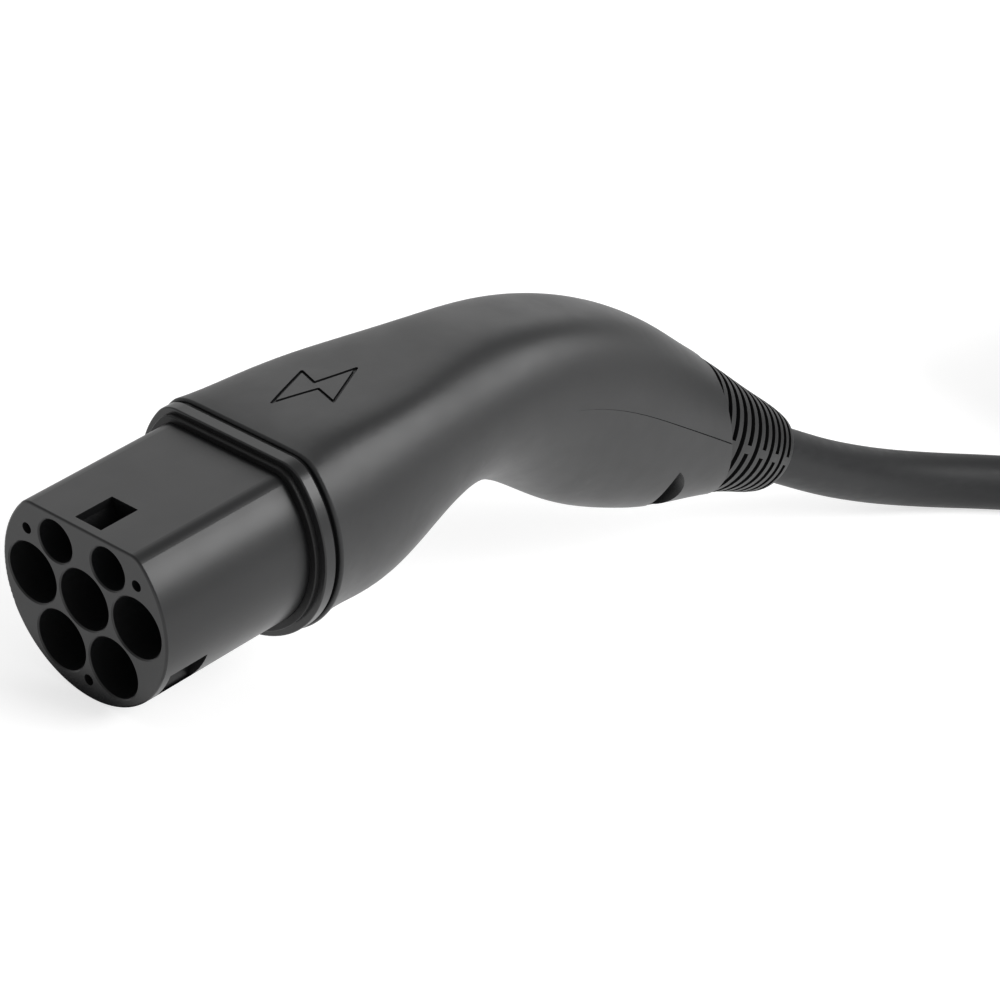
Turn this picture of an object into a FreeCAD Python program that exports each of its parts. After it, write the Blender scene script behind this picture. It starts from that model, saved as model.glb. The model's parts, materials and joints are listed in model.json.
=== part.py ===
import FreeCAD, Part
import math
import os

# Charging lead: a vehicle connector with a bent grip, a slotted strain relief and its cable,
# which is folded into a tied hank and ends in a charging-point plug.
# Lengths are in millimetres and angles in degrees. The connector is drawn along its nose, with the
# origin at the middle of the front face, +X towards the cable and +Z towards the flat of the nose,
# and is laid down at the end, with the lower lip of the nose on the ground.

V = FreeCAD.Vector

# Nose
NOSE_R = 27.75
NOSE_FLAT = 20.4
NOSE_CORNER = 4.5
NOSE_EDGE = 0.6
NOSE_LENGTH = 47.5
NOSE_WALL = 3.0
FACE_DEPTH = 16.0
SEAL_STEP = 2.0
SEAL_FLAT_STEP = 1.6
SEAL_THICKNESS = 1.5
SEAL_EDGE = 0.3
SPIGOT_STEP = 0.7
SPIGOT_LENGTH = 13.0
O_RING_X = 56.0
O_RING_WIDTH = 2.4
O_RING_DEPTH = 1.2

# Contact pattern
PITCH = 17.7
PATTERN_Z = 0.3
POWER_WELL_R = 8.13
SIGNAL_WELL_R = 5.65
WELL_EDGE = 0.35
SMALL_HOLE_R = 1.5
SMALL_HOLE_DEPTH = 8.0
SMALL_HOLE_CIRCLE = 22.4
SMALL_HOLE_ANGLES = (34.0, 146.0, 270.0)

# Lock windows
WINDOW_START = 2.8
WINDOW_LENGTH = 11.9
WINDOW_WIDTH = 8.8
WINDOW_SHOULDER = 2.2
WINDOW_CORE_WIDTH = 4.8
WINDOW_CORE_DEPTH = 6.8
WINDOW_DEPTH = 10.4
SIDE_WINDOW_LENGTH = 12.2
SIDE_WINDOW_TOP = -11.0
SIDE_WINDOW_BOTTOM = -20.2
SIDE_WINDOW_FLOOR = 18.4

# Sockets: bore radius, bore depth, body radius, flange radius, barrel radius, wire radius
POWER_SOCKET = (3.02, 22.0, 4.8, 6.2, 3.9, 2.35)
SIGNAL_SOCKET = (1.52, 18.0, 3.0, 4.2, 2.2, 1.1)
SOCKET_TIP = 16.5
SOCKET_FLANGE = 2.0
CARRIER_X = 40.0
CARRIER_THICKNESS = 11.0
PLATE_THICKNESS = 3.0
BARREL_LENGTH = 14.0
STRAND_SHARE = 0.75
STRAND_LENGTH = 9.0
GUARD_TIP = 14.0
GUARD_WALL = 1.1
GUARD_MOUTH = 0.5
FIT = 0.1
PLAY = 0.3
SLIP = 0.02
SCREW_R = 1.5
SCREW_HEAD_R = 2.6
SCREW_HEAD = 1.8
SCREW_CIRCLE = 20.8
SCREW_LENGTH = 9.0
SCREW_SLOT = 0.8
RESISTOR_PLACE = (-0.27, 0.35)
RESISTOR_R = 1.2
RESISTOR_LENGTH = 6.5
RESISTOR_LEAD_R = 0.3
RESISTOR_LEAD = 2.4

# Collar
COLLAR_STEP = 4.0
COLLAR_FLAT_STEP = 3.0
COLLAR_WIDTH = 3.5
COLLAR_EDGE = 0.4
GASKET_STEP = 3.0
GASKET_FLAT_STEP = 2.5
GASKET_WIDTH = 1.1

# Grip sections from the collar to the cable: place along X, height of the centre, tilt, half width,
# height above the centre, height below it, height of the top flat, and sharpness of its corners
GRIP = (
    (53.6, 0.0, 0.0, 32.6, 32.6, 32.8, 23.8, 26),
    (72.0, 0.0, -0.5, 30.6, 30.4, 32.6, 23.8, 24),
    (92.0, 0.0, -1.0, 28.3, 28.6, 29.2, 22.2, 22),
    (112.0, 0.0, -4.0, 25.0, 24.8, 22.0, 21.1, 19),
    (132.0, -2.2, -10.5, 22.6, 24.0, 22.5, 21.4, 16),
    (152.0, -7.7, -18.5, 21.4, 26.0, 27.1, 21.7, 12),
    (174.0, -18.1, -28.0, 20.5, 26.3, 31.3, 23.0, 10),
    (196.0, -32.7, -33.0, 19.6, 24.3, 30.2, 22.4, 8),
    (216.0, -46.9, -34.6, 18.6, 20.8, 25.0, 19.8, 8),
    (232.7, -58.9, -35.0, 17.8, 17.6, 17.9, 17.0, 8),
    (251.7, -72.2, -35.0, 13.9, 13.9, 13.9, 13.8, 8),
    (255.2, -74.7, -35.0, 12.8, 12.8, 12.8, 12.7, 8),
)
SECTION_POINTS = 72
GRIP_WALL = 3.6
GRIP_EDGE = 0.8
GRIP_END_X = 220.5
GRIP_END_Z = -50.0
GRIP_END_TILT = 3.0

# Notch low on each flank: top, left, bottom and right of its outline, along X and Z
NOTCH = ((199.6, -50.0), (196.6, -57.5), (201.0, -71.0), (204.3, -63.5))
NOTCH_DEPTH = 5.5
NOTCH_WALL = 1.8
NOTCH_INNER = 5.0

# Parting line on both flanks: where it starts to show, its width at the end and its depth
SEAM_START = 148.0
SEAM_WIDTH = 0.5
SEAM_DEPTH = 0.3
SEAM_STEPS = 6

# Lightning-bolt emblem, engraved as a line in the flat: corners along X and Y
EMBLEM = ((66.0, 2.0), (83.0, 8.5), (80.8, 2.2), (94.0, 0.5), (77.0, -8.0), (79.2, -0.8))
EMBLEM_LINE = 0.9
EMBLEM_DEPTH = 0.5

# Cable and strain relief, placed along the cable's straight axis through the grip's end
CABLE_R = 8.25
AXIS_X = 232.7
AXIS_Z = -58.9
AXIS_TILT = -35.0
BOOT_END = 27.5
BOOT_START = -30.0
BOOT_BORE_R = 8.4
BOOT_INSET = 0.4
BOOT_EDGE = 2.8
SLOT_LAST = 22.4
SLOT_PITCH = 4.6
SLOT_WIDTH = 2.3
SLOT_COUNT = 11
SLOT_LEAN = 4.0
SLOT_FLOOR = 0.9
SLOT_BRIDGE = 2.4
SHEATH_START = -62.0
CLAMP_START = -56.0
CLAMP_LENGTH = 14.0
CLAMP_WIDTH = 34.0
CLAMP_CROWN_R = 11.5
CLAMP_EAR = 6.5
CLAMP_GAP = 0.6
CLAMP_SCREW_Y = 11.2
RING_START = -40.0
RING_LENGTH = 6.0
RING_R = 14.9
BUNDLE_PITCH = 5.35

# Route of the wires inside the grip: place along X, height, tilt and spread of the pattern
WIRE_GUIDE = (
    (84.0, 0.0, 0.0, 14.5),
    (112.0, 0.3, -4.0, 9.0),
    (138.0, -3.0, -14.0, 6.2),
)
WIRE_LEAD_OUT = 7.0
WIRE_LEAD_IN = 22.0

# Pose on the ground
REST_TILT = 17.0

# Route of the cable from the strain relief to the hank: first run, points on the ground, last run
EXIT_RUN = 28.4
ROUTE = (
    (194.7, 0.0, 12.6),
    (221.7, -4.0, 8.9),
    (246.7, -13.5, 8.25),
)
RUN_IN = 34.0

# Hank: two turns side by side in four rows, with the lead to the plug on top of them
HANK_X = 399.7
HANK_Y = -38.0
HANK_R = 66.0
HANK_STRAIGHT = 85.0
HANK_ROWS = 4
HANK_EDGE = 6.0
HANK_ENTRY = -42.0
HANK_ENTRY_LENGTH = 54.0
LEAD_START = 25.0
TIE_FAR_X = 432.0
TIE_NEAR_X = 440.0
TIE_WIDTH = 18.0
TIE_THICKNESS = 1.2

# Charging-point plug, drawn along its own axis from the end of its boot
PLUG_X = 400.0
PLUG_TILT = 11.4
PLUG_BOOT_LENGTH = 35.0
PLUG_HANDLE_LENGTH = 68.0
PLUG_GASKET_WIDTH = 2.0
PLUG_SHROUD_LENGTH = 43.0
PLUG_SHROUD_R = 32.0
PLUG_SHROUD_FLAT = 24.6
PLUG_WALL = 3.2
PLUG_INSERT_DEPTH = 14.0
PLUG_POWER_PIN_R = 3.0
PLUG_SIGNAL_PIN_R = 1.5
PLUG_PIN_REACH = 36.0
PLUG_PIN_ROOT = 2.0
PLUG_PIN_TIP = 0.4
PLUG_CORNER = 4.5
PLUG_EDGE = 0.8
PLUG_GASKET_STEP = 1.5
PLUG_BOOT_R = (10.6, 15.0)
PLUG_SLOT_START = 5.0
PLUG_SLOT_PITCH = 4.5
PLUG_SLOT_WIDTH = 1.8
PLUG_SLOT_COUNT = 6
PLUG_SLOT_DEPTH = 1.9
PLUG_SLOT_BRIDGE = 2.6

# Outline of the plug's handle: place from its start and radius, then how far it stays under the shroud
PLUG_HANDLE_OUTLINE = ((0.0, 16.0), (24.0, 20.0), (54.0, 28.5))
PLUG_HANDLE_STEP = 1.0

# Contact names with their places in the pattern, in pitches across and rows up
HALF_ROW = math.sqrt(3) / 2
POWER_PLACES = {
    "l1": (-1.0, 0.0),
    "l2": (-0.5, -HALF_ROW),
    "l3": (0.5, -HALF_ROW),
    "n": (1.0, 0.0),
    "pe": (0.0, 0.0),
}
SIGNAL_PLACES = {"cp": (0.5, 0.82 * HALF_ROW), "pp": (-0.5, 0.82 * HALF_ROW)}


def cylinder(radius, length, start, direction):
    return Part.makeCylinder(radius, length, start, direction)


def rod(radius, x0, x1, y=0.0, z=0.0):
    return cylinder(radius, x1 - x0, V(x0, y, z), V(1, 0, 0))


def pattern_place(place, pitch=PITCH, height=PATTERN_Z):
    return place[0] * pitch, place[1] * pitch + height


def d_face(x, radius, flat, corner):
    """A disc across X, cut off by a flat on top, with rounded corners."""
    inner = radius - corner
    cz = flat - corner
    cy = math.sqrt(inner ** 2 - cz ** 2)
    ty, tz = cy * radius / inner, cz * radius / inner
    half = math.radians((90 + math.degrees(math.atan2(cz, cy))) / 2)
    my, mz = cy + corner * math.cos(half), cz + corner * math.sin(half)
    edges = [
        Part.makeLine(V(x, -cy, flat), V(x, cy, flat)),
        Part.Arc(V(x, cy, flat), V(x, my, mz), V(x, ty, tz)).toShape(),
        Part.Arc(V(x, ty, tz), V(x, 0, -radius), V(x, -ty, tz)).toShape(),
        Part.Arc(V(x, -ty, tz), V(x, -my, mz), V(x, -cy, flat)).toShape(),
    ]
    return Part.Face(Part.Wire(edges))


def d_prism(x0, x1, step=0.0, flat_step=None, corner_step=None):
    """A length of the nose's D section, grown by a step."""
    rise = step if flat_step is None else flat_step
    corner = NOSE_CORNER + (step if corner_step is None else corner_step)
    return d_face(x0, NOSE_R + step, NOSE_FLAT + rise, max(corner, 0.5)).extrude(V(x1 - x0, 0, 0))


def d_ring(x0, x1, outer, outer_flat, inner):
    return d_prism(x0, x1, outer, outer_flat).cut(d_prism(x0 - 1, x1 + 1, inner))


def top_window():
    """The lock window in the flat, which narrows between the signal wells."""
    half, core = WINDOW_WIDTH / 2, WINDOW_CORE_WIDTH / 2
    outline = (
        (half, NOSE_R), (half, NOSE_FLAT - WINDOW_SHOULDER), (core, NOSE_FLAT - WINDOW_CORE_DEPTH),
        (core, NOSE_FLAT - WINDOW_DEPTH),
    )
    corners = [V(WINDOW_START, y, z) for y, z in outline]
    corners += [V(p.x, -p.y, p.z) for p in reversed(corners)]
    return Part.Face(Part.makePolygon(corners + corners[:1])).extrude(V(WINDOW_LENGTH, 0, 0))


def side_window(side):
    """A lock window in a flank: a pocket cut level into the nose."""
    low, high = sorted((side * SIDE_WINDOW_FLOOR, side * NOSE_R * 2))
    height = SIDE_WINDOW_TOP - SIDE_WINDOW_BOTTOM
    return Part.makeBox(SIDE_WINDOW_LENGTH, high - low, height, V(WINDOW_START, low, SIDE_WINDOW_BOTTOM))


SPIGOT_START = NOSE_LENGTH + SEAL_THICKNESS
SPIGOT_END = SPIGOT_START + SPIGOT_LENGTH
GRIP_START = SPIGOT_START + COLLAR_WIDTH + GASKET_WIDTH
PLATE_X = CARRIER_X + CARRIER_THICKNESS
BARREL_END = PLATE_X + BARREL_LENGTH


def nose_housing():
    body = d_prism(0, NOSE_LENGTH)
    front = [e for e in body.Edges if e.BoundBox.XMax < 0.01]
    body = body.makeFillet(NOSE_EDGE, front)
    body = body.fuse(d_prism(NOSE_LENGTH, SPIGOT_START))
    body = body.fuse(d_prism(SPIGOT_START, SPIGOT_END, SPIGOT_STEP))
    cuts = [d_prism(FACE_DEPTH, SPIGOT_END + 1, -NOSE_WALL)]
    for places, radius in ((POWER_PLACES, POWER_WELL_R), (SIGNAL_PLACES, SIGNAL_WELL_R)):
        for place in places.values():
            y, z = pattern_place(place)
            cuts.append(rod(radius, -1, FACE_DEPTH + 1, y, z))
            cuts.append(Part.makeCone(radius + WELL_EDGE, radius, WELL_EDGE, V(0, y, z), V(1, 0, 0)))
    for angle in SMALL_HOLE_ANGLES:
        y = SMALL_HOLE_CIRCLE * math.cos(math.radians(angle))
        z = SMALL_HOLE_CIRCLE * math.sin(math.radians(angle))
        cuts.append(rod(SMALL_HOLE_R, -1, SMALL_HOLE_DEPTH, y, z))
    cuts += [top_window(), side_window(-1), side_window(1)]
    seal = d_ring(O_RING_X, O_RING_X + O_RING_WIDTH, SPIGOT_STEP + 1, None, SPIGOT_STEP - O_RING_DEPTH)
    cuts.append(seal)
    return body.cut(Part.makeCompound(cuts))


def front_seal():
    """The ring at the root of the nose that seals against the inlet."""
    ring = d_prism(NOSE_LENGTH, SPIGOT_START, SEAL_STEP, SEAL_FLAT_STEP)
    ring = ring.makeFillet(SEAL_EDGE, [e for e in ring.Edges if e.BoundBox.XMax < NOSE_LENGTH + 0.01])
    return ring.cut(d_prism(NOSE_LENGTH - 1, SPIGOT_START + 1, FIT / 2))


def nose_seal():
    return d_ring(O_RING_X, O_RING_X + O_RING_WIDTH, SPIGOT_STEP + FIT / 2, None, SPIGOT_STEP - O_RING_DEPTH)


def collar_ring():
    ring = d_prism(SPIGOT_START, SPIGOT_START + COLLAR_WIDTH, COLLAR_STEP, COLLAR_FLAT_STEP)
    outer = [e for e in ring.Edges if e.BoundBox.XLength < 0.01]
    ring = ring.makeFillet(COLLAR_EDGE, outer)
    return ring.cut(d_prism(SPIGOT_START - 1, GRIP_START, SPIGOT_STEP + FIT))


def collar_gasket():
    start = SPIGOT_START + COLLAR_WIDTH
    return d_ring(start, start + GASKET_WIDTH, GASKET_STEP, GASKET_FLAT_STEP, SPIGOT_STEP + FIT)


def socket(place, sizes):
    bore_r, bore_depth, body_r, flange_r, barrel_r, wire_r = sizes
    y, z = pattern_place(place)
    body = rod(body_r, SOCKET_TIP, PLATE_X, y, z)
    body = body.fuse(rod(flange_r, CARRIER_X - SOCKET_FLANGE, CARRIER_X, y, z))
    body = body.fuse(rod(barrel_r, PLATE_X, BARREL_END, y, z))
    body = body.cut(rod(bore_r, SOCKET_TIP - 1, SOCKET_TIP + bore_depth, y, z))
    return body.cut(rod(wire_r * STRAND_SHARE, BARREL_END - STRAND_LENGTH - 1, BARREL_END + 1, y, z))


def guards(places, sizes):
    """Sleeves round the socket tips, with an inward lip in front."""
    bore_r, body_r = sizes[0], sizes[2]
    sleeves = []
    for place in places.values():
        y, z = pattern_place(place)
        sleeve = rod(body_r + FIT + GUARD_WALL, GUARD_TIP, CARRIER_X - SOCKET_FLANGE, y, z)
        sleeve = sleeve.cut(rod(body_r + FIT, SOCKET_TIP - FIT, CARRIER_X, y, z))
        sleeves.append(sleeve.cut(rod(bore_r + GUARD_MOUTH, GUARD_TIP - 1, SOCKET_TIP, y, z)))
    return Part.makeCompound(sleeves)


def socket_holes(x0, x1, member, gap):
    """Clearance holes for one member of every socket: its body or its barrel."""
    holes = []
    for places, sizes in ((POWER_PLACES, POWER_SOCKET), (SIGNAL_PLACES, SIGNAL_SOCKET)):
        for place in places.values():
            y, z = pattern_place(place)
            holes.append(rod(sizes[member] + gap, x0, x1, y, z))
    return holes


def screw_places():
    for angle in SMALL_HOLE_ANGLES:
        turn = math.radians(angle)
        yield SCREW_CIRCLE * math.cos(turn), SCREW_CIRCLE * math.sin(turn)


def contact_carrier():
    body = d_prism(CARRIER_X, PLATE_X, -NOSE_WALL - FIT)
    holes = socket_holes(CARRIER_X - 1, PLATE_X + 1, 2, FIT / 2)
    holes += [rod(SCREW_R, PLATE_X - SCREW_LENGTH, PLATE_X + 1, y, z) for y, z in screw_places()]
    return body.cut(Part.makeCompound(holes))


def retaining_plate():
    end = PLATE_X + PLATE_THICKNESS
    body = d_prism(PLATE_X, end, -NOSE_WALL - FIT)
    holes = socket_holes(PLATE_X - 1, end + 1, 4, FIT)
    holes += [rod(SCREW_R + FIT, PLATE_X - 1, end + 1, y, z) for y, z in screw_places()]
    return body.cut(Part.makeCompound(holes))


def carrier_screws():
    end = PLATE_X + PLATE_THICKNESS
    screws = []
    for y, z in screw_places():
        screw = rod(SCREW_R, PLATE_X - SCREW_LENGTH, end, y, z).fuse(
            rod(SCREW_HEAD_R, end, end + SCREW_HEAD, y, z)
        )
        corner = V(end + SCREW_HEAD - SCREW_SLOT, y - SCREW_HEAD_R, z - SCREW_SLOT / 2)
        slot = Part.makeBox(2 * SCREW_SLOT, 2 * SCREW_HEAD_R, SCREW_SLOT, corner)
        screws.append(screw.cut(slot))
    return Part.makeCompound(screws)


def coding_resistor():
    """A small resistor on the plate, between the proximity pilot and the earth barrels."""
    y, z = pattern_place(RESISTOR_PLACE)
    start = PLATE_X + PLATE_THICKNESS
    leads = rod(RESISTOR_LEAD_R, start, start + RESISTOR_LENGTH + 2 * RESISTOR_LEAD, y, z)
    return leads.fuse(rod(RESISTOR_R, start + RESISTOR_LEAD, start + RESISTOR_LEAD + RESISTOR_LENGTH, y, z))


def section(row, inset):
    """A closed smooth outline of the grip: an oval with a flat top, inset all round."""
    x, z, tilt, wide, above, below, flat, sharp = row
    wide, above, below, flat = wide - inset, above - inset, below - inset, flat - inset
    lean = math.radians(tilt)
    poles = []
    for k in range(SECTION_POINTS):
        turn = 2 * math.pi * k / SECTION_POINTS - math.pi / 2
        across, up = math.cos(turn), math.sin(turn)
        oval = math.hypot(across / wide, up / (above if up > 0 else below))
        level = max(up, 0.0) / flat
        most = max(oval, level)
        gauge = most * ((oval / most) ** sharp + (level / most) ** sharp) ** (1 / sharp)
        poles.append(V(x - up / gauge * math.sin(lean), across / gauge, z + up / gauge * math.cos(lean)))
    curve = Part.BSplineCurve()
    curve.buildFromPolesMultsKnots(
        poles, [1] * (SECTION_POINTS + 1), list(range(SECTION_POINTS + 1)), True, 3
    )
    return Part.Wire(curve.toShape())


def skin(inset):
    """The grip and the boot as one closed form, inset by a distance."""
    return Part.makeLoft([section(row, inset) for row in GRIP], True, False)


def half_space(x, z, tilt, side):
    """A large block on one side of a plane across the cable: -1 towards the nose, 1 away."""
    size = 400.0
    block = Part.makeBox(size, size, size, V(0 if side > 0 else -size, -size / 2, -size / 2))
    block.rotate(V(0, 0, 0), V(0, 1, 0), -tilt)
    block.translate(V(x, 0, z))
    return block


def axis_point(s, y=0.0, n=0.0):
    """A point near the cable's axis: along it, across, and square to it."""
    lean = math.radians(AXIS_TILT)
    x = AXIS_X + s * math.cos(lean) - n * math.sin(lean)
    return V(x, y, AXIS_Z + s * math.sin(lean) + n * math.cos(lean))


AXIS = V(math.cos(math.radians(AXIS_TILT)), 0, math.sin(math.radians(AXIS_TILT)))


def axis_rod(radius, s0, s1, y=0.0, n=0.0):
    return cylinder(radius, s1 - s0, axis_point(s0, y, n), AXIS)


def axis_box(s0, s1, y0, y1, n0, n1):
    block = Part.makeBox(s1 - s0, y1 - y0, n1 - n0, V(s0, y0, n0))
    block.rotate(V(0, 0, 0), V(0, 1, 0), -AXIS_TILT)
    block.translate(axis_point(0))
    return block


def handle_body(outer, inner):
    body = outer.common(half_space(GRIP_END_X, GRIP_END_Z, GRIP_END_TILT, -1))
    rim = [e for e in body.Edges if e.BoundBox.XMax < GRIP_START + 0.01]
    body = body.makeFillet(GRIP_EDGE, rim)
    body = body.cut(inner.common(half_space(SPIGOT_END, 0, 0, 1)))
    body = body.cut(d_prism(GRIP_START - 1, SPIGOT_END + 0.5, SPIGOT_STEP + FIT))
    body = body.cut(notches(0.0))
    body = body.cut(parting_line().cut(skin(SEAM_DEPTH)))
    return body.cut(emblem_line().cut(skin(EMBLEM_DEPTH)))


def emblem_line():
    corners = [V(x, y, GRIP_WALL) for x, y in EMBLEM]
    bolt = Part.Face(Part.makePolygon(corners + corners[:1]))
    line = bolt.makeOffset2D(EMBLEM_LINE / 2).cut(bolt.makeOffset2D(-EMBLEM_LINE / 2))
    return line.extrude(V(0, 0, NOSE_R))


def notches(margin):
    """The notches of both flanks, grown by a margin at the sides and inwards."""
    top, left, bottom, right = [V(x, 0, z) for x, z in NOTCH]
    edges = [Part.Arc(top, left, bottom).toShape(), Part.Arc(bottom, right, top).toShape()]
    lens = Part.Face(Part.Wire(edges))
    if margin:
        lens = lens.makeOffset2D(margin)
    lens.translate(V(0, -NOSE_R, 0))
    inner = NOTCH_INNER - margin
    web = Part.makeBox(NOSE_R, 2 * inner, 2 * NOSE_R, V(bottom.x - NOSE_R / 2, -inner, bottom.z - NOSE_R / 2))
    return lens.extrude(V(0, 2 * NOSE_R, 0)).cut(web).cut(skin(NOTCH_DEPTH + margin))


def parting_line():
    """A strip that follows the middle of the sections and widens towards the cable, across the grip."""
    rows = [row[:2] for row in GRIP if SEAM_START < row[0] < AXIS_X + 1]
    middle = Part.BSplineCurve()
    middle.interpolate([V(x, 0, z) for x, z in rows])
    first, last = middle.FirstParameter, middle.LastParameter
    steps = [first + (last - first) * k / SEAM_STEPS for k in range(SEAM_STEPS + 1)]
    low, high = [], []
    for k, t in enumerate(steps):
        point = middle.value(t)
        half = V(0, 0, SEAM_WIDTH / 2 * k / SEAM_STEPS)
        low.append(point - half)
        high.append(point + half)
    edges = []
    for side in (low, high):
        curve = Part.BSplineCurve()
        curve.interpolate(side)
        edges.append(curve.toShape())
    edges.append(Part.makeLine(low[-1], high[-1]))
    strip = Part.Face(Part.Wire(Part.__sortEdges__(edges)))
    strip.translate(V(0, -NOSE_R * 2, 0))
    return strip.extrude(V(0, NOSE_R * 4, 0))


def strain_relief_boot(hollow):
    outside = skin(BOOT_INSET).common(half_space(GRIP_END_X, GRIP_END_Z, GRIP_END_TILT, 1))
    end = axis_box(BOOT_END - 0.01, BOOT_END + 20, -30, 30, -30, 30)
    outside = outside.cut(end)
    rim = [e for e in outside.Edges if abs((e.BoundBox.Center - axis_point(BOOT_END)).dot(AXIS)) < 0.2]
    outside = outside.makeFillet(BOOT_EDGE, rim)
    inside = hollow.common(half_space(GRIP_END_X, GRIP_END_Z, GRIP_END_TILT, -1))
    inside = inside.common(axis_box(BOOT_START, BOOT_END, -40, 40, -60, 60))
    core = axis_rod(BOOT_BORE_R + SLOT_FLOOR, 2 * BOOT_START, 2 * BOOT_END)
    slots = []
    for k in range(SLOT_COUNT):
        s = SLOT_LAST - k * SLOT_PITCH - SLOT_WIDTH / 2
        disc = axis_rod(2 * BOOT_END, s, s + SLOT_WIDTH)
        disc.rotate(axis_point(s), V(0, 1, 0), -SLOT_LEAN)
        half = SLOT_BRIDGE / 2
        if k % 2:
            bridge = axis_box(s - 1, s + SLOT_WIDTH + 1, -half, half, -50, 50)
        else:
            bridge = axis_box(s - 1, s + SLOT_WIDTH + 1, -50, 50, -half, half)
        slots.append(disc.cut(bridge).cut(core))
    open_slots = Part.makeCompound(slots).common(half_space(GRIP_END_X, GRIP_END_Z, GRIP_END_TILT, 1))
    body = outside.fuse(inside).cut(open_slots)
    return body.cut(axis_rod(BOOT_BORE_R, BOOT_START - 20, BOOT_END + 20))


def cable_entry():
    return axis_rod(CABLE_R, SHEATH_START, BOOT_END)


def cable_seal():
    ring = axis_rod(RING_R, RING_START, RING_START + RING_LENGTH)
    return ring.cut(axis_rod(CABLE_R + FIT / 2, RING_START - 1, RING_START + RING_LENGTH + 1))


def cable_clamp(side, hollow):
    """One half of the cord grip: a crown over the cable and two ears that reach the grip's wall."""
    end = CLAMP_START + CLAMP_LENGTH
    low, high = sorted((side * CLAMP_GAP, side * CLAMP_EAR))
    ears = axis_box(CLAMP_START, end, -CLAMP_WIDTH / 2, CLAMP_WIDTH / 2, low, high)
    low, high = sorted((side * CLAMP_GAP, side * CLAMP_CROWN_R))
    crown = axis_box(CLAMP_START, end, -CLAMP_CROWN_R, CLAMP_CROWN_R, low, high)
    half = ears.fuse(crown.common(axis_rod(CLAMP_CROWN_R, CLAMP_START, end)))
    half = half.common(hollow).cut(axis_rod(CABLE_R + FIT / 2, CLAMP_START - 1, end + 1))
    for y in (-CLAMP_SCREW_Y, CLAMP_SCREW_Y):
        half = half.cut(clamp_rod(SCREW_R + FIT, y, -CLAMP_EAR - 1, CLAMP_EAR + 1))
        half = half.cut(clamp_rod(SCREW_HEAD_R + FIT, y, CLAMP_EAR, CLAMP_CROWN_R))
    return half


def clamp_rod(radius, y, n0, n1):
    """A rod square to the cable at the middle of the cord grip."""
    middle = CLAMP_START + CLAMP_LENGTH / 2
    up = axis_point(middle, 0, 1) - axis_point(middle, 0, 0)
    return cylinder(radius, n1 - n0, axis_point(middle, y, n0), up)


def clamp_screws():
    screws = []
    for y in (-CLAMP_SCREW_Y, CLAMP_SCREW_Y):
        shank = clamp_rod(SCREW_R, y, -CLAMP_EAR, CLAMP_EAR)
        screws.append(shank.fuse(clamp_rod(SCREW_HEAD_R, y, CLAMP_EAR, CLAMP_EAR + SCREW_HEAD)))
    return Part.makeCompound(screws)


def rounded_path(points):
    """Straight runs joined by tangent arcs, each as large as its two runs allow."""
    edges, radii = [], []
    start = points[0]
    for before, here, after in zip(points, points[1:], points[2:]):
        u, w = (here - before).normalize(), (after - here).normalize()
        run = min((here - before).Length, (after - here).Length)
        turn = math.acos(max(-1.0, min(1.0, u.dot(w))))
        cut = 0.45 * run
        first, last = here - u * cut, here + w * cut
        radius = cut / math.tan(turn / 2)
        inward = (w - u).normalize()
        centre = here + inward * math.hypot(cut, radius)
        middle = centre - inward * radius
        edges.append(Part.LineSegment(start, first).toShape())
        edges.append(Part.Arc(first, middle, last).toShape())
        radii.append(radius)
        start = last
    edges.append(Part.LineSegment(start, points[-1]).toShape())
    return Part.Wire(edges), radii


def tube(points, radius):
    path, radii = rounded_path(points)
    first = (points[1] - points[0]).normalize()
    profile = Part.Face(Part.Wire(Part.makeCircle(radius, points[0], first)))
    return path.makePipe(profile), path, radii


def wire(place, sizes):
    """One core from its socket to the end of the sheath, with its bared strand."""
    wire_r = sizes[5]
    y, z = pattern_place(place)
    points = [V(BARREL_END, y, z), V(BARREL_END + WIRE_LEAD_OUT, y, z)]
    for x, height, tilt, spread in WIRE_GUIDE:
        across, up = pattern_place(place, spread, 0.0)
        lean = math.radians(tilt)
        points.append(V(x - up * math.sin(lean), across, height + up * math.cos(lean)))
    across, up = pattern_place(place, BUNDLE_PITCH, 0.0)
    points.append(axis_point(SHEATH_START - WIRE_LEAD_IN, across, up))
    points.append(axis_point(SHEATH_START, across, up))
    body = tube(points, wire_r)[0]
    start = rod(wire_r * STRAND_SHARE - SLIP, BARREL_END - STRAND_LENGTH, BARREL_END + 1, y, z)
    return body.fuse(start)


def racetrack(radius, x0, x1, y):
    """An oval outline of two half circles and two straight sides, at height zero."""
    edges = [
        Part.makeLine(V(x0, y - radius, 0), V(x1, y - radius, 0)),
        Part.Arc(V(x1, y - radius, 0), V(x1 + radius, y, 0), V(x1, y + radius, 0)).toShape(),
        Part.makeLine(V(x1, y + radius, 0), V(x0, y + radius, 0)),
        Part.Arc(V(x0, y + radius, 0), V(x0 - radius, y, 0), V(x0, y - radius, 0)).toShape(),
    ]
    return Part.Wire(edges)


def oval_ring(radius, half_width, z0, z1):
    x0, x1 = HANK_X, HANK_X + HANK_STRAIGHT
    outer = Part.Face(racetrack(radius + half_width, x0, x1, HANK_Y))
    inner = Part.Face(racetrack(radius - half_width, x0, x1, HANK_Y))
    ring = outer.cut(inner).extrude(V(0, 0, z1 - z0))
    ring.translate(V(0, 0, z0))
    return ring


ENTRY_HEADING = V(math.cos(math.radians(HANK_ENTRY)), math.sin(math.radians(HANK_ENTRY)), 0)
HANK_THICK = 2 * CABLE_R
HANK_TOP = HANK_ROWS * HANK_THICK
LEAD_R = HANK_R - CABLE_R


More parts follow.
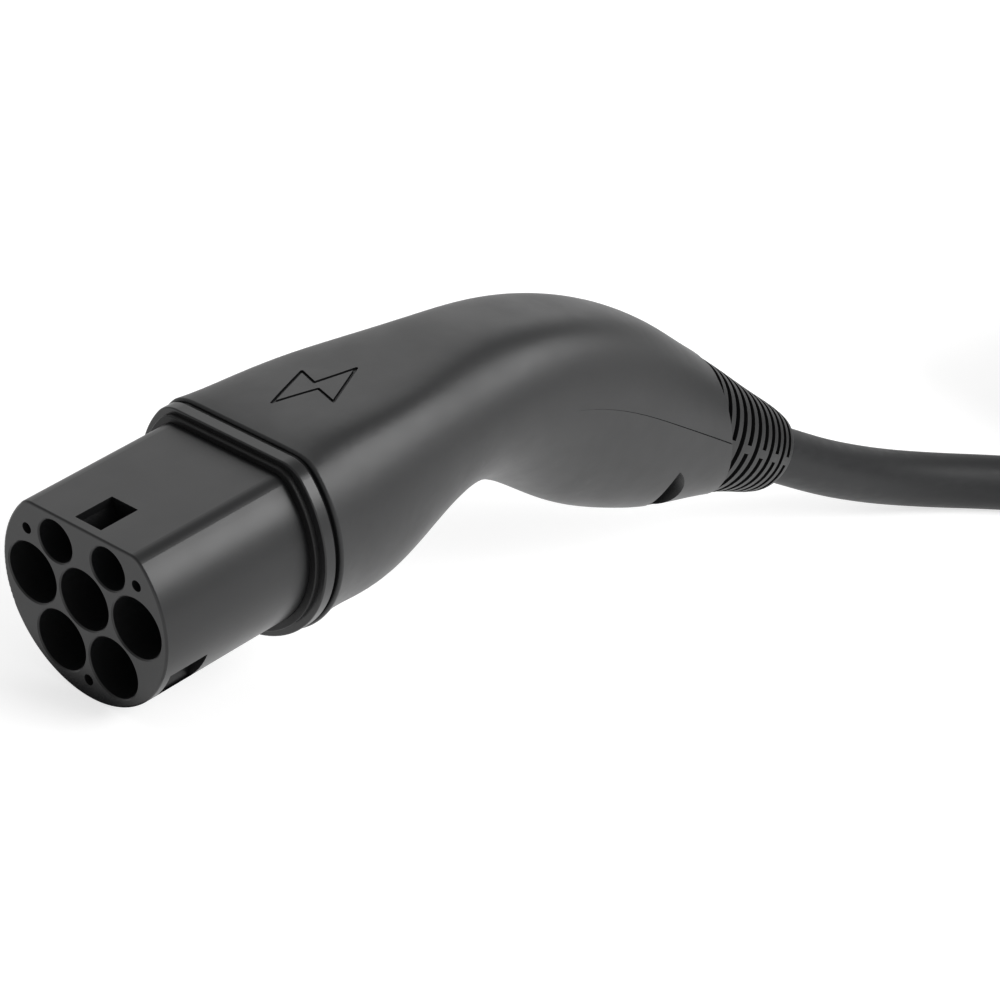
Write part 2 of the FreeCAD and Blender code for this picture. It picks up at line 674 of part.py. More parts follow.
def hank_entry(back):
    """A point on the line by which the cable joins the outer column, and its distance before the stub."""
    outward = V(ENTRY_HEADING.y, -ENTRY_HEADING.x, 0)
    touch = V(HANK_X, HANK_Y, CABLE_R) + outward * (HANK_R + CABLE_R)
    return touch - ENTRY_HEADING * (HANK_ENTRY_LENGTH + back)


def hank_body():
    """The bundle of turns, the stub that the cable comes in by and the lead on top."""
    x1 = HANK_X + HANK_STRAIGHT
    ring = oval_ring(HANK_R, HANK_THICK, 0, HANK_TOP)
    flat_edges = [e for e in ring.Edges if e.BoundBox.ZLength < 0.01]
    ring = ring.makeFillet(HANK_EDGE, flat_edges)
    stub = cylinder(CABLE_R, HANK_ENTRY_LENGTH - CABLE_R, hank_entry(0), ENTRY_HEADING)
    lead = oval_ring(LEAD_R, CABLE_R, HANK_TOP - HANK_EDGE, HANK_TOP + HANK_THICK)
    far = Part.makeBox(x1 - LEAD_START - HANK_X, HANK_R, 2 * HANK_TOP, V(HANK_X, HANK_Y, 0))
    fold_start = V(HANK_X - HANK_STRAIGHT, HANK_Y - 2 * HANK_R, 0)
    fold = Part.makeBox(HANK_STRAIGHT, 4 * HANK_R, 2 * HANK_TOP, fold_start)
    lead = lead.common(far.fuse(fold))
    beyond = plug_pose(Part.makeBox(HANK_STRAIGHT, HANK_R, 2 * HANK_R, V(0, -HANK_R / 2, -HANK_R)))
    return ring.fuse(stub).fuse(lead.cut(beyond)).cut(hank_ties(True))


def tie(x, middle, lead, recess):
    """A strap round one side of the bundle, and round the lead if it is there, or its bed under the turns."""
    wide, top = HANK_THICK + FIT, HANK_TOP + FIT
    rise = HANK_THICK if lead else 0
    inside = [V(x, middle - wide, TIE_THICKNESS), V(x, middle - wide, top + rise)]
    if lead:
        inside.append(V(x, middle, top + rise))
    inside += [V(x, middle + wide, top), V(x, middle + wide, TIE_THICKNESS)]
    outline = Part.Face(Part.makePolygon(inside + inside[:1]))
    strap = outline.makeOffset2D(TIE_THICKNESS).extrude(V(TIE_WIDTH, 0, 0))
    if recess:
        return strap.common(Part.makeBox(2 * TIE_WIDTH, 4 * wide, TIE_THICKNESS, V(x, middle - 2 * wide, 0)))
    return strap.cut(outline.extrude(V(TIE_WIDTH, 0, 0)))


def hank_ties(recess):
    """The strap on the far side, over the rising lead, and the one on the near side, under the plug."""
    far = tie(TIE_FAR_X, HANK_Y + HANK_R, True, recess)
    near = tie(TIE_NEAR_X, HANK_Y - HANK_R, False, recess)
    return Part.makeCompound([far, near])


def plug_pose(shape):
    """Puts the plug, drawn from its boot along +X, on top of the hank."""
    rest = HANK_TOP + PLAY + PLUG_SHROUD_R * math.cos(math.radians(PLUG_TILT))
    rear = PLUG_BOOT_LENGTH + PLUG_HANDLE_LENGTH + PLUG_GASKET_WIDTH
    height = rest - rear * math.sin(math.radians(PLUG_TILT))
    shape.rotate(V(0, 0, 0), V(0, 1, 0), -PLUG_TILT)
    shape.translate(V(PLUG_X, HANK_Y - LEAD_R, height))
    return shape


PLUG_HANDLE_X = PLUG_BOOT_LENGTH
PLUG_GASKET_X = PLUG_HANDLE_X + PLUG_HANDLE_LENGTH
PLUG_SHROUD_X = PLUG_GASKET_X + PLUG_GASKET_WIDTH
PLUG_END = PLUG_SHROUD_X + PLUG_SHROUD_LENGTH


def plug_shroud():
    body = d_face(PLUG_SHROUD_X, PLUG_SHROUD_R, PLUG_SHROUD_FLAT, PLUG_CORNER)
    body = body.extrude(V(PLUG_SHROUD_LENGTH, 0, 0))
    rim = [e for e in body.Edges if e.BoundBox.XMin > PLUG_END - 0.01]
    body = body.makeFillet(PLUG_EDGE, rim)
    hollow = plug_hollow(PLUG_SHROUD_X - 1, PLUG_WALL)
    return body.cut(hollow.extrude(V(PLUG_SHROUD_LENGTH + 2, 0, 0)))


def plug_hollow(x, inset):
    return d_face(x, PLUG_SHROUD_R - inset, PLUG_SHROUD_FLAT - inset, PLUG_CORNER - PLUG_WALL / 2)


def plug_pins(places, radius):
    pins = []
    for place in places.values():
        y, z = pattern_place(place)
        pin = rod(radius, PLUG_SHROUD_X + PLUG_PIN_ROOT, PLUG_SHROUD_X + PLUG_PIN_REACH, -y, z)
        tip = [e for e in pin.Edges if e.BoundBox.XMin > PLUG_SHROUD_X + PLUG_PIN_REACH - 0.01]
        pins.append(pin.makeChamfer(radius * PLUG_PIN_TIP, tip))
    return Part.makeCompound(pins)


def plug_insert():
    body = plug_hollow(PLUG_SHROUD_X, PLUG_WALL + FIT).extrude(V(PLUG_INSERT_DEPTH, 0, 0))
    holes = []
    for places, radius in ((POWER_PLACES, PLUG_POWER_PIN_R), (SIGNAL_PLACES, PLUG_SIGNAL_PIN_R)):
        for place in places.values():
            y, z = pattern_place(place)
            holes.append(rod(radius + FIT / 2, PLUG_SHROUD_X + PLUG_PIN_ROOT, PLUG_END, -y, z))
    return body.cut(Part.makeCompound(holes))


def under_flat(step):
    """All that lies below the flat of the plug's shroud, by a step."""
    block = Part.makeBox(PLUG_END, 4 * PLUG_SHROUD_R, 4 * PLUG_SHROUD_R)
    block.translate(V(0, -2 * PLUG_SHROUD_R, PLUG_SHROUD_FLAT - step - 4 * PLUG_SHROUD_R))
    return block


def plug_gasket():
    ring = rod(PLUG_SHROUD_R - PLUG_GASKET_STEP, PLUG_GASKET_X, PLUG_SHROUD_X)
    return ring.common(under_flat(PLUG_GASKET_STEP))


def plug_handle():
    points = [V(PLUG_HANDLE_X + x, 0, radius) for x, radius in PLUG_HANDLE_OUTLINE]
    curve = Part.BSplineCurve()
    curve.interpolate(points)
    start, end = V(PLUG_HANDLE_X, 0, 0), V(PLUG_GASKET_X, 0, 0)
    rim = end + V(0, 0, PLUG_SHROUD_R - PLUG_HANDLE_STEP)
    edges = [
        Part.makeLine(start, points[0]),
        curve.toShape(),
        Part.makeLine(points[-1], rim),
        Part.makeLine(rim, end),
        Part.makeLine(end, start),
    ]
    body = Part.Face(Part.Wire(edges)).revolve(V(0, 0, 0), V(1, 0, 0), 360)
    return body.common(under_flat(PLUG_HANDLE_STEP))


def plug_boot():
    small, large = PLUG_BOOT_R
    body = Part.makeCone(small, large, PLUG_BOOT_LENGTH, V(0, 0, 0), V(1, 0, 0))
    floor = (small - PLUG_SLOT_DEPTH, large - PLUG_SLOT_DEPTH)
    core = Part.makeCone(*floor, PLUG_BOOT_LENGTH, V(0, 0, 0), V(1, 0, 0))
    wide, narrow = 3 * large, PLUG_SLOT_BRIDGE
    for k in range(PLUG_SLOT_COUNT):
        x = PLUG_SLOT_START + k * PLUG_SLOT_PITCH
        slot = rod(large, x, x + PLUG_SLOT_WIDTH).cut(core)
        across, up = (wide, narrow) if k % 2 else (narrow, wide)
        bridge = Part.makeBox(PLUG_SLOT_WIDTH, across, up, V(x, -across / 2, -up / 2))
        body = body.cut(slot.cut(bridge))
    return body


def build():
    outer = skin(0.0)
    inner = skin(GRIP_WALL).cut(notches(NOTCH_WALL))
    hollow = skin(GRIP_WALL + PLAY).cut(notches(NOTCH_WALL + PLAY))
    own = {
        "nose_housing": nose_housing(),
        "collar_ring": collar_ring(),
        "collar_gasket": collar_gasket(),
        "front_seal": front_seal(),
        "nose_seal": nose_seal(),
        "contact_carrier": contact_carrier(),
        "retaining_plate": retaining_plate(),
        "carrier_screws": carrier_screws(),
        "coding_resistor": coding_resistor(),
        "power_guards": guards(POWER_PLACES, POWER_SOCKET),
        "signal_guards": guards(SIGNAL_PLACES, SIGNAL_SOCKET),
        "handle_body": handle_body(outer, inner),
        "strain_relief_boot": strain_relief_boot(hollow),
        "cable_seal": cable_seal(),
        "cable_clamp_upper": cable_clamp(1, hollow),
        "cable_clamp_lower": cable_clamp(-1, hollow),
        "clamp_screws": clamp_screws(),
        "cable_entry": cable_entry(),
    }
    for places, sizes in ((POWER_PLACES, POWER_SOCKET), (SIGNAL_PLACES, SIGNAL_SOCKET)):
        for name, place in places.items():
            own["contact_" + name] = socket(place, sizes)
            own["wire_" + name] = wire(place, sizes)

    # Laid down on the lip of the nose, and centred over the origin
    lean = math.radians(REST_TILT)
    lift = (NOSE_R - NOSE_EDGE) * math.cos(lean) - NOSE_EDGE * math.sin(lean) + NOSE_EDGE
    for shape in own.values():
        shape.rotate(V(0, 0, 0), V(0, 1, 0), -REST_TILT)
    ends = Part.makeCompound([own["nose_housing"], own["strain_relief_boot"]])
    box = ends.optimalBoundingBox(False, False)
    shift = V(-(box.XMin + box.XMax) / 2, 0, lift)
    for shape in own.values():
        shape.translate(shift)
    print("shift", round(shift.x, 3), round(shift.z, 3), "box", box.XMin + shift.x, box.XMax + shift.x)

    laid = FreeCAD.Rotation(V(0, 1, 0), -REST_TILT)
    leave = [laid.multVec(axis_point(BOOT_END + s)) + shift for s in (0, EXIT_RUN)]
    route = leave + [V(*p) for p in ROUTE] + [hank_entry(RUN_IN), hank_entry(0)]
    print("cable route", [(round(p.x, 1), round(p.y, 1), round(p.z, 2)) for p in route])
    run, path, radii = tube(route, CABLE_R)
    print("cable bend radii", [round(r) for r in radii])
    print("cable run", round(path.Length, 1), "volume", run.Volume, math.pi * CABLE_R ** 2 * path.Length)
    passes = 2 * HANK_ROWS
    turns = passes * 2 * HANK_STRAIGHT + (2 * passes - 1) * math.pi * HANK_R
    joining = math.radians(90 + HANK_ENTRY) * (HANK_R + CABLE_R)
    total = path.Length + HANK_ENTRY_LENGTH + joining + turns + math.pi * LEAD_R
    print("cable length", round(total))
    far = {
        "cable_run": run,
        "cable_hank": hank_body(),
        "hank_ties": hank_ties(False),
        "plug_shroud": plug_pose(plug_shroud()),
        "plug_insert": plug_pose(plug_insert()),
        "plug_power_pins": plug_pose(plug_pins(POWER_PLACES, PLUG_POWER_PIN_R)),
        "plug_signal_pins": plug_pose(plug_pins(SIGNAL_PLACES, PLUG_SIGNAL_PIN_R)),
        "plug_gasket": plug_pose(plug_gasket()),
        "plug_handle": plug_pose(plug_handle()),
        "plug_boot": plug_pose(plug_boot()),
    }
    return {**own, **far}


os.makedirs("parts", exist_ok=True)
for node, solid in build().items():
    kinds = [s.isValid() for s in solid.Solids]
    print(node, len(solid.Solids), "valid" if all(kinds) and kinds else "BAD", round(solid.Volume, 1))
    solid.exportStep("parts/" + node + ".step")
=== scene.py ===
import json
import math

import bpy
from mathutils import Matrix, Vector


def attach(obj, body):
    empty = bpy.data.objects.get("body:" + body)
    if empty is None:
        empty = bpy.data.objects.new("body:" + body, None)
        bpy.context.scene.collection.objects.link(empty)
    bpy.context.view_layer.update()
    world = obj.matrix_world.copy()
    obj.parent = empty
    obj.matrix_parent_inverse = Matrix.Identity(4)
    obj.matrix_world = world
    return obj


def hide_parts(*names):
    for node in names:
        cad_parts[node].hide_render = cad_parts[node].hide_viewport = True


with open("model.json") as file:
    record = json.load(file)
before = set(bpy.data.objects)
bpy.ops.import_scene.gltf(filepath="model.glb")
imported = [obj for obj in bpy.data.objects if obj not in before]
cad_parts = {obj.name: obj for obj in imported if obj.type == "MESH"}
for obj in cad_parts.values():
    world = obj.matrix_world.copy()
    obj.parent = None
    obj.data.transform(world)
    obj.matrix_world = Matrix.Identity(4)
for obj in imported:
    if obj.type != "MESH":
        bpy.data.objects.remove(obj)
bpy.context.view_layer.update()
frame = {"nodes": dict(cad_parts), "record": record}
nodes = frame["nodes"]

# The connector lies tilted on the lip of its nose. This is the nose's own frame, in the row frame:
# its origin is in the middle of the front face, and its X axis runs back along the nose.
REST_TILT = math.radians(17.0)
NOSE_PLACE = Vector((-0.131521, 0.0, 0.026388))
NOSE_FRAME = Matrix.Translation(NOSE_PLACE) @ Matrix.Rotation(-REST_TILT, 4, "Y")

# Camera, placed in the nose's frame as the photograph shows the nose
CAMERA_AT = Vector((-0.5420, -0.6168, 0.5450))
CAMERA_AZIMUTH = math.radians(-48.138)
CAMERA_ELEVATION = math.radians(32.371)
CAMERA_LENS = 150.4
CAMERA_SENSOR = 36.0
CLIP_NEAR = 0.05
CLIP_FAR = 50.0


def make_camera():
    data = bpy.data.cameras.new("camera")
    data.lens = CAMERA_LENS
    data.sensor_width = CAMERA_SENSOR
    data.clip_start = CLIP_NEAR
    data.clip_end = CLIP_FAR
    camera = bpy.data.objects.new("camera", data)
    bpy.context.collection.objects.link(camera)
    swing = Matrix.Rotation(CAMERA_AZIMUTH, 4, "Z")
    pitch = Matrix.Rotation(math.pi / 2 - CAMERA_ELEVATION, 4, "X")
    camera.matrix_world = NOSE_FRAME @ Matrix.Translation(CAMERA_AT) @ swing @ pitch
    bpy.context.scene.camera = camera


make_camera()

# Cable: its route from the strain relief to the hank
CABLE_R = 0.00825
CABLE_EXIT = Vector((0.134386, 0.0, 0.029599))
CABLE_ROUTE = (
    (0.1614, 0.0, 0.0208),
    (0.1947, 0.0, 0.0126),
    (0.2217, -0.0040, 0.0089),
    (0.2467, -0.0135, 0.00825),
    (0.2846, -0.0343, 0.00825),
    (0.3099, -0.0570, 0.00825),
)
STEPS_PER_SPAN = 16
STEPS_ROUND = 10

# Hank of eight passes: two columns in four rows, with the lead to the plug on top.
# Its folds are half turns round two ends, and angles are in degrees.
HANK_X = 0.3997
HANK_Y = -0.0380
HANK_R = 0.0660
HANK_STRAIGHT = 0.085
HANK_PASSES = 8
NEAR_FOLD = 90
FAR_FOLD = -90
FOLD_ANGLES = (15, 45, 75, 105, 135, 165)
ENTRY_ANGLE = 223.0
INSIDE = -1
OUTSIDE = 1


def fold_points(x, first, column, row, angles=FOLD_ANGLES):
    """Control points of one fold of the hank, round the end at x, from the fold's first angle on."""
    radius = (HANK_R + column * CABLE_R) / math.cos(math.radians(FOLD_ANGLES[0]))
    height = (2 * row + 1) * CABLE_R
    points = []
    for angle in angles:
        turn = math.radians(first + angle)
        points.append((x + radius * math.cos(turn), HANK_Y + radius * math.sin(turn), height))
    return points


def pass_place(k):
    """Column and row of a pass: outside and inside by turns, and up a row after every second one."""
    row = k // 2
    outside = (k % 2 == 0) == (row % 2 == 0)
    return (OUTSIDE if outside else INSIDE), row


def cable_points():
    """The route, then the hank, whose first fold has only the points past the cable's entry."""
    points = [tuple(CABLE_EXIT), *CABLE_ROUTE]
    near, far = HANK_X, HANK_X + HANK_STRAIGHT
    entry = [angle for angle in FOLD_ANGLES if NEAR_FOLD + angle > ENTRY_ANGLE]
    points += fold_points(near, NEAR_FOLD, *pass_place(0), entry)
    for k in range(HANK_PASSES):
        points += fold_points(far, FAR_FOLD, *pass_place(k))
        if k + 1 < HANK_PASSES:
            points += fold_points(near, NEAR_FOLD, *pass_place(k + 1))
    points += fold_points(near, NEAR_FOLD, INSIDE, HANK_PASSES / 2)
    return points


def make_cable():
    """One smooth line. Its bevel is 1 m deep, so that each point's radius is the cable's."""
    curve = bpy.data.curves.new("cable", "CURVE")
    curve.dimensions = "3D"
    curve.resolution_u = STEPS_PER_SPAN
    curve.bevel_depth = 1.0
    curve.bevel_resolution = STEPS_ROUND
    curve.use_fill_caps = True
    points = cable_points()
    spline = curve.splines.new("NURBS")
    spline.points.add(len(points) - 1)
    for point, place in zip(spline.points, points):
        point.co = (*place, 1.0)
        point.radius = CABLE_R
    spline.order_u = 3
    spline.use_endpoint_u = True
    cable = bpy.data.objects.new("cable", curve)
    bpy.context.collection.objects.link(cable)
    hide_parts("cable_run", "cable_hank")
    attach(cable, "root")
    return cable


cable = make_cable()


# Material helpers: textures lie on the object's own coordinates, so scales are per metre
def shader(name, color, roughness, specular):
    material = bpy.data.materials.new(name)
    material.use_nodes = True
    tree = material.node_tree
    surface = tree.nodes["Principled BSDF"]
    surface.inputs["Base Color"].default_value = (*color, 1.0)
    surface.inputs["Roughness"].default_value = roughness
    surface.inputs["Specular IOR Level"].default_value = specular
    coordinates = tree.nodes.new("ShaderNodeTexCoord")
    return material, tree, surface, coordinates.outputs["Object"]


def stretched(tree, place, scale=(1.0, 1.0, 1.0), turn=(0.0, 0.0, 0.0)):
    mapping = tree.nodes.new("ShaderNodeMapping")
    mapping.inputs["Scale"].default_value = scale
    mapping.inputs["Rotation"].default_value = turn
    tree.links.new(place, mapping.inputs["Vector"])
    return mapping.outputs["Vector"]


def noise(tree, place, scale, detail=3.0):
    texture = tree.nodes.new("ShaderNodeTexNoise")
    texture.inputs["Scale"].default_value = scale
    texture.inputs["Detail"].default_value = detail
    tree.links.new(place, texture.inputs["Vector"])
    return texture.outputs["Fac"]


def ranged(tree, value, low, high, start=0.3, end=0.7):
    """The value, carried from the span start..end to low..high. Most noise lies in 0.3 to 0.7."""
    span = tree.nodes.new("ShaderNodeMapRange")
    span.inputs["From Min"].default_value = start
    span.inputs["From Max"].default_value = end
    span.inputs["To Min"].default_value = low
    span.inputs["To Max"].default_value = high
    tree.links.new(value, span.inputs["Value"])
    return span.outputs["Result"]


def combined(tree, operation, a, b):
    """Two values joined by an operation. Either may be a plain number."""
    node = tree.nodes.new("ShaderNodeMath")
    node.operation = operation
    for socket, value in zip(node.inputs, (a, b)):
        if isinstance(value, float):
            socket.default_value = value
        else:
            tree.links.new(value, socket)
    return node.outputs["Value"]


def two_tone(tree, surface, value, color, spread):
    """The base colour, from darker to lighter by the spread, as the value goes from 0 to 1."""
    mix = tree.nodes.new("ShaderNodeMix")
    mix.data_type = "RGBA"
    mix.inputs["A"].default_value = (*[c * (1 - spread) for c in color], 1.0)
    mix.inputs["B"].default_value = (*[c * (1 + spread) for c in color], 1.0)
    tree.links.new(value, mix.inputs["Factor"])
    tree.links.new(mix.outputs["Result"], surface.inputs["Base Color"])


def add_bump(tree, surface, height, strength, distance):
    bump = tree.nodes.new("ShaderNodeBump")
    bump.inputs["Strength"].default_value = strength
    bump.inputs["Distance"].default_value = distance
    tree.links.new(height, bump.inputs["Height"])
    tree.links.new(bump.outputs["Normal"], surface.inputs["Normal"])


# Painted shade in hollows: how far they are felt for, and the spans of shelter that count as deep and as
# open
HOLLOW_REACH = 0.012
HOLLOW_SAMPLES = 6
HOLLOW_DEEP = 0.50
HOLLOW_OPEN = 0.88


def hollow_shade_mask(tree):
    """From 0 deep in a hollow to 1 on an open face: the mask of the painted shade in hollows."""
    around = tree.nodes.new("ShaderNodeAmbientOcclusion")
    around.samples = HOLLOW_SAMPLES
    around.inputs["Distance"].default_value = HOLLOW_REACH
    return ranged(tree, around.outputs["AO"], 0.0, 1.0, HOLLOW_DEEP, HOLLOW_OPEN)


# Moulded surfaces: the spark-eroded grain has a coarser one in it
SATIN_SPECULAR = 0.44
COARSE_SCALE = 0.35
COARSE_SHARE = 0.6
GRAIN_DETAIL = 2.0
GRAIN_STRENGTH = 0.5
RUB_SCALE = 2.3
RUB_SMOOTHER = 0.02
RUB_ROUGHER = 0.03


def moulded(
    name, color, roughness, grain, depth, spread=0.05, patch=45.0, specular=SATIN_SPECULAR, painted_hollow_shade=False,
):
    """Moulded plastic or rubber: spark-eroded grain, faint clouds of colour and uneven gloss.

    With the painted hollow shade on, only its open faces have a sheen: the hollows get a painted shade
    that takes their sheen away and keeps them matt and black.
    """
    material, tree, surface, place = shader(name, color, roughness, specular)
    two_tone(tree, surface, ranged(tree, noise(tree, place, patch), 0.0, 1.0), color, spread)
    rub = noise(tree, place, patch * RUB_SCALE)
    gloss = ranged(tree, rub, roughness - RUB_SMOOTHER, roughness + RUB_ROUGHER)
    tree.links.new(gloss, surface.inputs["Roughness"])
    fine = noise(tree, place, grain, GRAIN_DETAIL)
    coarse = noise(tree, place, grain * COARSE_SCALE, GRAIN_DETAIL)
    height = combined(tree, "ADD", fine, combined(tree, "MULTIPLY", coarse, COARSE_SHARE))
    add_bump(tree, surface, height, GRAIN_STRENGTH, depth)
    if painted_hollow_shade:
        # Painted shade: the sheen fades where the faces are sheltered in hollows
        sheen = combined(tree, "MULTIPLY", hollow_shade_mask(tree), specular)
        tree.links.new(sheen, surface.inputs["Specular IOR Level"])
    return material


# Cable sheath
SCUFF_STRETCH = (1.0, 1.0, 3.0)
SCUFF_SCALE = 160.0
SCUFF_DETAIL = 5.0
SCUFF_SPREAD = 0.1
SCUFF_START = 0.45
SCUFF_END = 0.75
SCUFF_SMOOTHER = 0.04
SCUFF_ROUGHER = 0.06
SHEATH_GRAIN = 3200.0
SHEATH_GRAIN_SHARE = 0.12
SHEATH_WAVES = 70.0
SHEATH_STRENGTH = 0.35
SHEATH_DEPTH = 0.0004


def jacket(name, color, roughness, specular):
    """Cable sheath: rubber that was pressed round the cores, with long soft waves and scuffs."""
    material, tree, surface, place = shader(name, color, roughness, specular)
    scuff = noise(tree, stretched(tree, place, SCUFF_STRETCH), SCUFF_SCALE, SCUFF_DETAIL)
    scuffed = ranged(tree, scuff, 0.0, 1.0, SCUFF_START, SCUFF_END)
    two_tone(tree, surface, scuffed, color, SCUFF_SPREAD)
    gloss = ranged(tree, scuff, roughness - SCUFF_SMOOTHER, roughness + SCUFF_ROUGHER)
    tree.links.new(gloss, surface.inputs["Roughness"])
    grain = noise(tree, place, SHEATH_GRAIN, GRAIN_DETAIL)
    fine = combined(tree, "MULTIPLY", grain, SHEATH_GRAIN_SHARE)
    waves = noise(tree, place, SHEATH_WAVES, 1.0)
    add_bump(tree, surface, combined(tree, "ADD", fine, waves), SHEATH_STRENGTH, SHEATH_DEPTH)
    return material


# Straps
THREAD_SCALE = 420.0
THREAD_DISTORTION = 0.6
NAP_SCALE = 2600.0
WEAVE_SPREAD = 0.6
WEAVE_STRENGTH = 0.7
WEAVE_DEPTH = 0.0003
CLOTH_SPECULAR = 0.2


def woven(name, color, roughness):
    """Hook-and-loop strap: a fine weave with a nap."""
    material, tree, surface, place = shader(name, color, roughness, CLOTH_SPECULAR)
    threads = []
    for turn in (0.0, math.pi / 2):
        wave = tree.nodes.new("ShaderNodeTexWave")
        wave.inputs["Scale"].default_value = THREAD_SCALE
        wave.inputs["Distortion"].default_value = THREAD_DISTORTION
        tree.links.new(stretched(tree, place, turn=(0.0, turn, 0.0)), wave.inputs["Vector"])
        threads.append(wave.outputs["Fac"])
    weave = combined(tree, "MAXIMUM", *threads)
    nap = noise(tree, place, NAP_SCALE)
    two_tone(tree, surface, combined(tree, "MULTIPLY", weave, nap), color, WEAVE_SPREAD)
    add_bump(tree, surface, combined(tree, "ADD", weave, nap), WEAVE_STRENGTH, WEAVE_DEPTH)
    return material


# Metals
METAL_SPECULAR = 0.5
LINE_SCALE = 900.0
LINE_DETAIL = 4.0
LINE_STRENGTH = 0.25
LINE_DEPTH = 0.00002
DULL_SCALE = 220.0
DULL_SPREAD = 0.07
LINE_SMOOTHER = 0.08
LINE_ROUGHER = 0.1


def metal(name, color, roughness, stretch):
    """Plated or drawn metal with fine lines along one axis and dull patches."""
    material, tree, surface, place = shader(name, color, roughness, METAL_SPECULAR)
    surface.inputs["Metallic"].default_value = 1.0
    lines = noise(tree, stretched(tree, place, stretch), LINE_SCALE, LINE_DETAIL)
    dull = ranged(tree, noise(tree, place, DULL_SCALE), 0.0, 1.0)
    two_tone(tree, surface, dull, color, DULL_SPREAD)
    gloss = ranged(tree, lines, roughness - LINE_SMOOTHER, roughness + LINE_ROUGHER)
    tree.links.new(gloss, surface.inputs["Roughness"])
    add_bump(tree, surface, lines, LINE_STRENGTH, LINE_DEPTH)
    return material


# Materials of the record's slots: grain is per metre, and depth is in metres
NOSE_BLACK = (0.0088, 0.0090, 0.0094)
GRIP_BLACK = (0.0108, 0.0111, 0.0116)
BOOT_BLACK = (0.0110, 0.0113, 0.0117)
SEAL_BLACK = (0.0040, 0.0040, 0.0042)
SHEATH_BLACK = (0.0225, 0.0229, 0.0236)
CARRIER_BLACK = (0.008, 0.008, 0.008)
GUARD_BLACK = (0.006, 0.006, 0.006)
STRAP_BLACK = (0.0120, 0.0120, 0.0125)
NYLON_GREY = (0.05, 0.05, 0.052)
LACQUER_BLUE = (0.30, 0.45, 0.58)
SILVER = (0.82, 0.80, 0.76)
STEEL = (0.62, 0.62, 0.60)
WIRE_COLORS = {
    "brown": (0.20, 0.08, 0.035),
    "black": (0.02, 0.02, 0.02),
    "grey": (0.28, 0.28, 0.29),
    "blue": (0.04, 0.14, 0.42),
    "green": (0.16, 0.45, 0.08),
    "white": (0.72, 0.72, 0.70),
}
# Materials with the hollow shade on get painted shade in their sheltered hollows
MOULDED = {
    "nose_black": dict(color=NOSE_BLACK, roughness=0.34, grain=5200.0, depth=0.00001, painted_hollow_shade=True),
    "grip_black": dict(color=GRIP_BLACK, roughness=0.40, grain=4200.0, depth=0.000015, painted_hollow_shade=True),
    "collar_black": dict(color=NOSE_BLACK, roughness=0.30, grain=5200.0, depth=0.00001),
    "dark_rubber": dict(color=SEAL_BLACK, roughness=0.48, grain=3000.0, depth=0.00002, specular=0.3),
    "boot_rubber": dict(
        color=BOOT_BLACK, roughness=0.5, grain=3500.0, depth=0.00003, specular=0.4, painted_hollow_shade=True,
    ),
    "carrier_grey": dict(color=CARRIER_BLACK, roughness=0.6, grain=3500.0, depth=0.00002),
    "guard_black": dict(color=GUARD_BLACK, roughness=0.6, grain=3500.0, depth=0.00002),
    "clamp_nylon": dict(color=NYLON_GREY, roughness=0.55, grain=3500.0, depth=0.00002),
    "resistor_lacquer": dict(color=LACQUER_BLUE, roughness=0.25, grain=3000.0, depth=0.00001),
    "plug_black": dict(color=GRIP_BLACK, roughness=0.40, grain=4200.0, depth=0.000015),
}
for shade, tone in WIRE_COLORS.items():
    MOULDED["wire_" + shade] = dict(color=tone, roughness=0.4, grain=3000.0, depth=0.00001)


def make_materials():
    materials = {name: moulded(name, **finish) for name, finish in MOULDED.items()}
    materials["cable_jacket"] = jacket("cable_jacket", SHEATH_BLACK, roughness=0.46, specular=0.14)
    materials["tie_fabric"] = woven("tie_fabric", STRAP_BLACK, roughness=0.85)
    materials["silvered_copper"] = metal("silvered_copper", SILVER, roughness=0.28, stretch=(1, 12, 12))
    materials["screw_steel"] = metal("screw_steel", STEEL, roughness=0.3, stretch=(1, 1, 6))
    return materials


def dress(materials):
    """Every CAD node gets the material of its slot, and so does the cable."""
    for part in frame["record"]["subparts"]:
        node = nodes[part["node"]]
        node.data.materials.clear()
        node.data.materials.append(materials[part["material_slot"]])
    cable.data.materials.append(materials["cable_jacket"])


dress(make_materials())

# Floor: a pale light table, whose own glow keeps the shadows on it faint
FLOOR_SIZE = 14.0
FLOOR_PLACE = (0.2, 0.0, 0.0)
FLOOR_PALE = (0.52, 0.52, 0.52)
FLOOR_GLOW = 0.68
FLOOR_FINISH = dict(roughness=0.85, grain=600.0, depth=0.00002, spread=0.004, patch=3.0, specular=0.1)
WHITE = (1.0, 1.0, 1.0, 1.0)


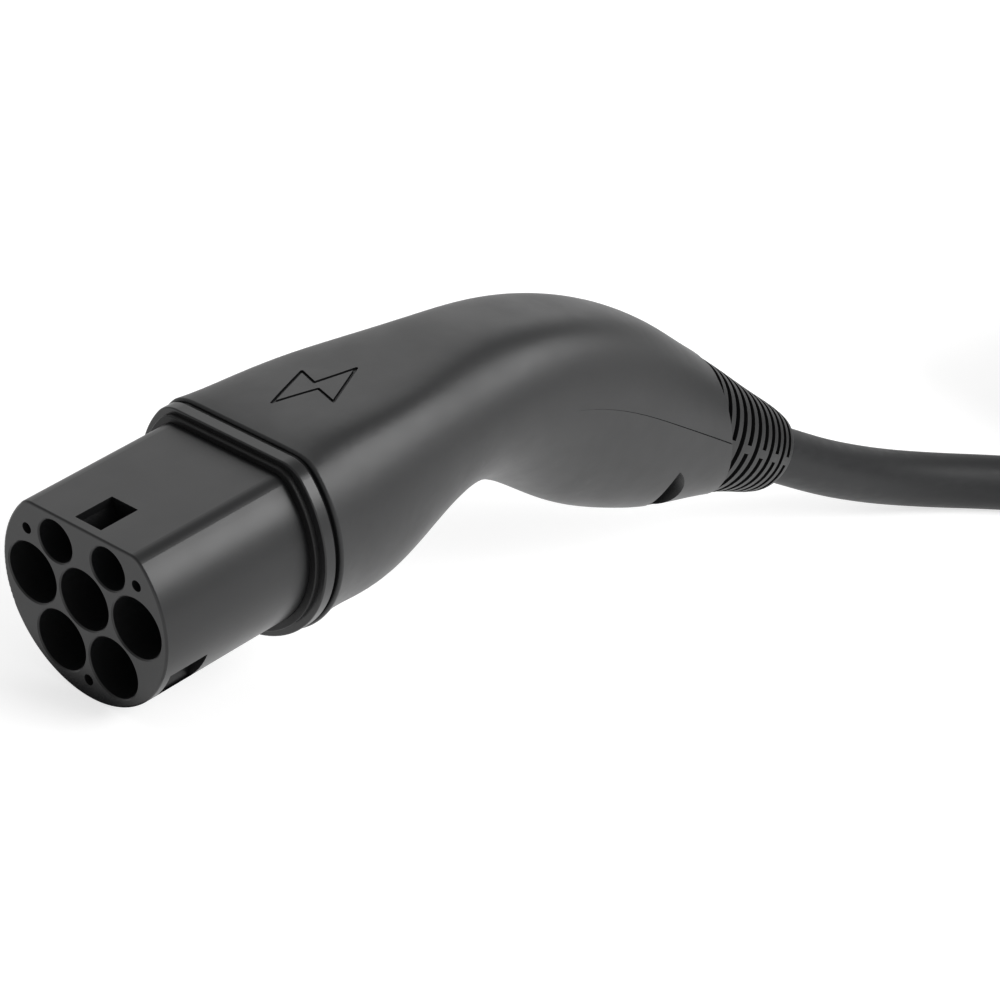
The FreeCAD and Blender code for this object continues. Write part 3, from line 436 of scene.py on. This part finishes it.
def make_floor():
    bpy.ops.mesh.primitive_plane_add(size=FLOOR_SIZE, location=FLOOR_PLACE)
    floor = bpy.context.object
    floor.name = "floor"
    material = moulded("floor_pale", FLOOR_PALE, **FLOOR_FINISH)
    surface = material.node_tree.nodes["Principled BSDF"]
    surface.inputs["Emission Color"].default_value = WHITE
    surface.inputs["Emission Strength"].default_value = FLOOR_GLOW
    floor.data.materials.append(material)


# Studio: its strength at the horizon, overhead and in front of the nose, and the spans of Z and X
# of the unit direction over which it changes
HORIZON = 0.88
ZENITH = 0.50
HORIZON_Z = 0.1
ZENITH_Z = 0.85
FRONT_SHADE = 0.42
FRONT_X = -0.95
SIDES_X = 0.1


def make_world():
    """A white studio, dimmer overhead and in front of the nose."""
    world = bpy.data.worlds.new("studio")
    world.use_nodes = True
    tree = world.node_tree
    direction = tree.nodes.new("ShaderNodeTexCoord")
    split = tree.nodes.new("ShaderNodeSeparateXYZ")
    tree.links.new(direction.outputs["Generated"], split.inputs["Vector"])
    height = ranged(tree, split.outputs["Z"], HORIZON, ZENITH, HORIZON_Z, ZENITH_Z)
    front = ranged(tree, split.outputs["X"], FRONT_SHADE, 1.0, FRONT_X, SIDES_X)
    background = tree.nodes["Background"]
    background.inputs["Color"].default_value = WHITE
    tree.links.new(combined(tree, "MULTIPLY", height, front), background.inputs["Strength"])
    bpy.context.scene.world = world


def area_light(name, place, target, size, power):
    data = bpy.data.lights.new(name, "AREA")
    data.shape = "RECTANGLE"
    data.size, data.size_y = size
    data.energy = power
    light = bpy.data.objects.new(name, data)
    bpy.context.collection.objects.link(light)
    light.location = place
    light.rotation_mode = "QUATERNION"
    light.rotation_quaternion = (Vector(target) - Vector(place)).to_track_quat("-Z", "Y")


def make_light():
    """The softbox at the back lights the nose's flat, and the one at the side its lower corner."""
    make_world()
    area_light(
        "back_softbox", place=(0.62, 0.82, 1.00), target=(0.0, 0.0, 0.05), size=(1.2, 1.0), power=2.6,
    )
    area_light(
        "side_softbox", place=(0.58, -0.96, 0.86), target=(0.05, 0.0, 0.05), size=(1.3, 0.62), power=14.5,
    )
    bpy.context.scene.view_settings.view_transform = "Standard"


make_floor()
make_light()
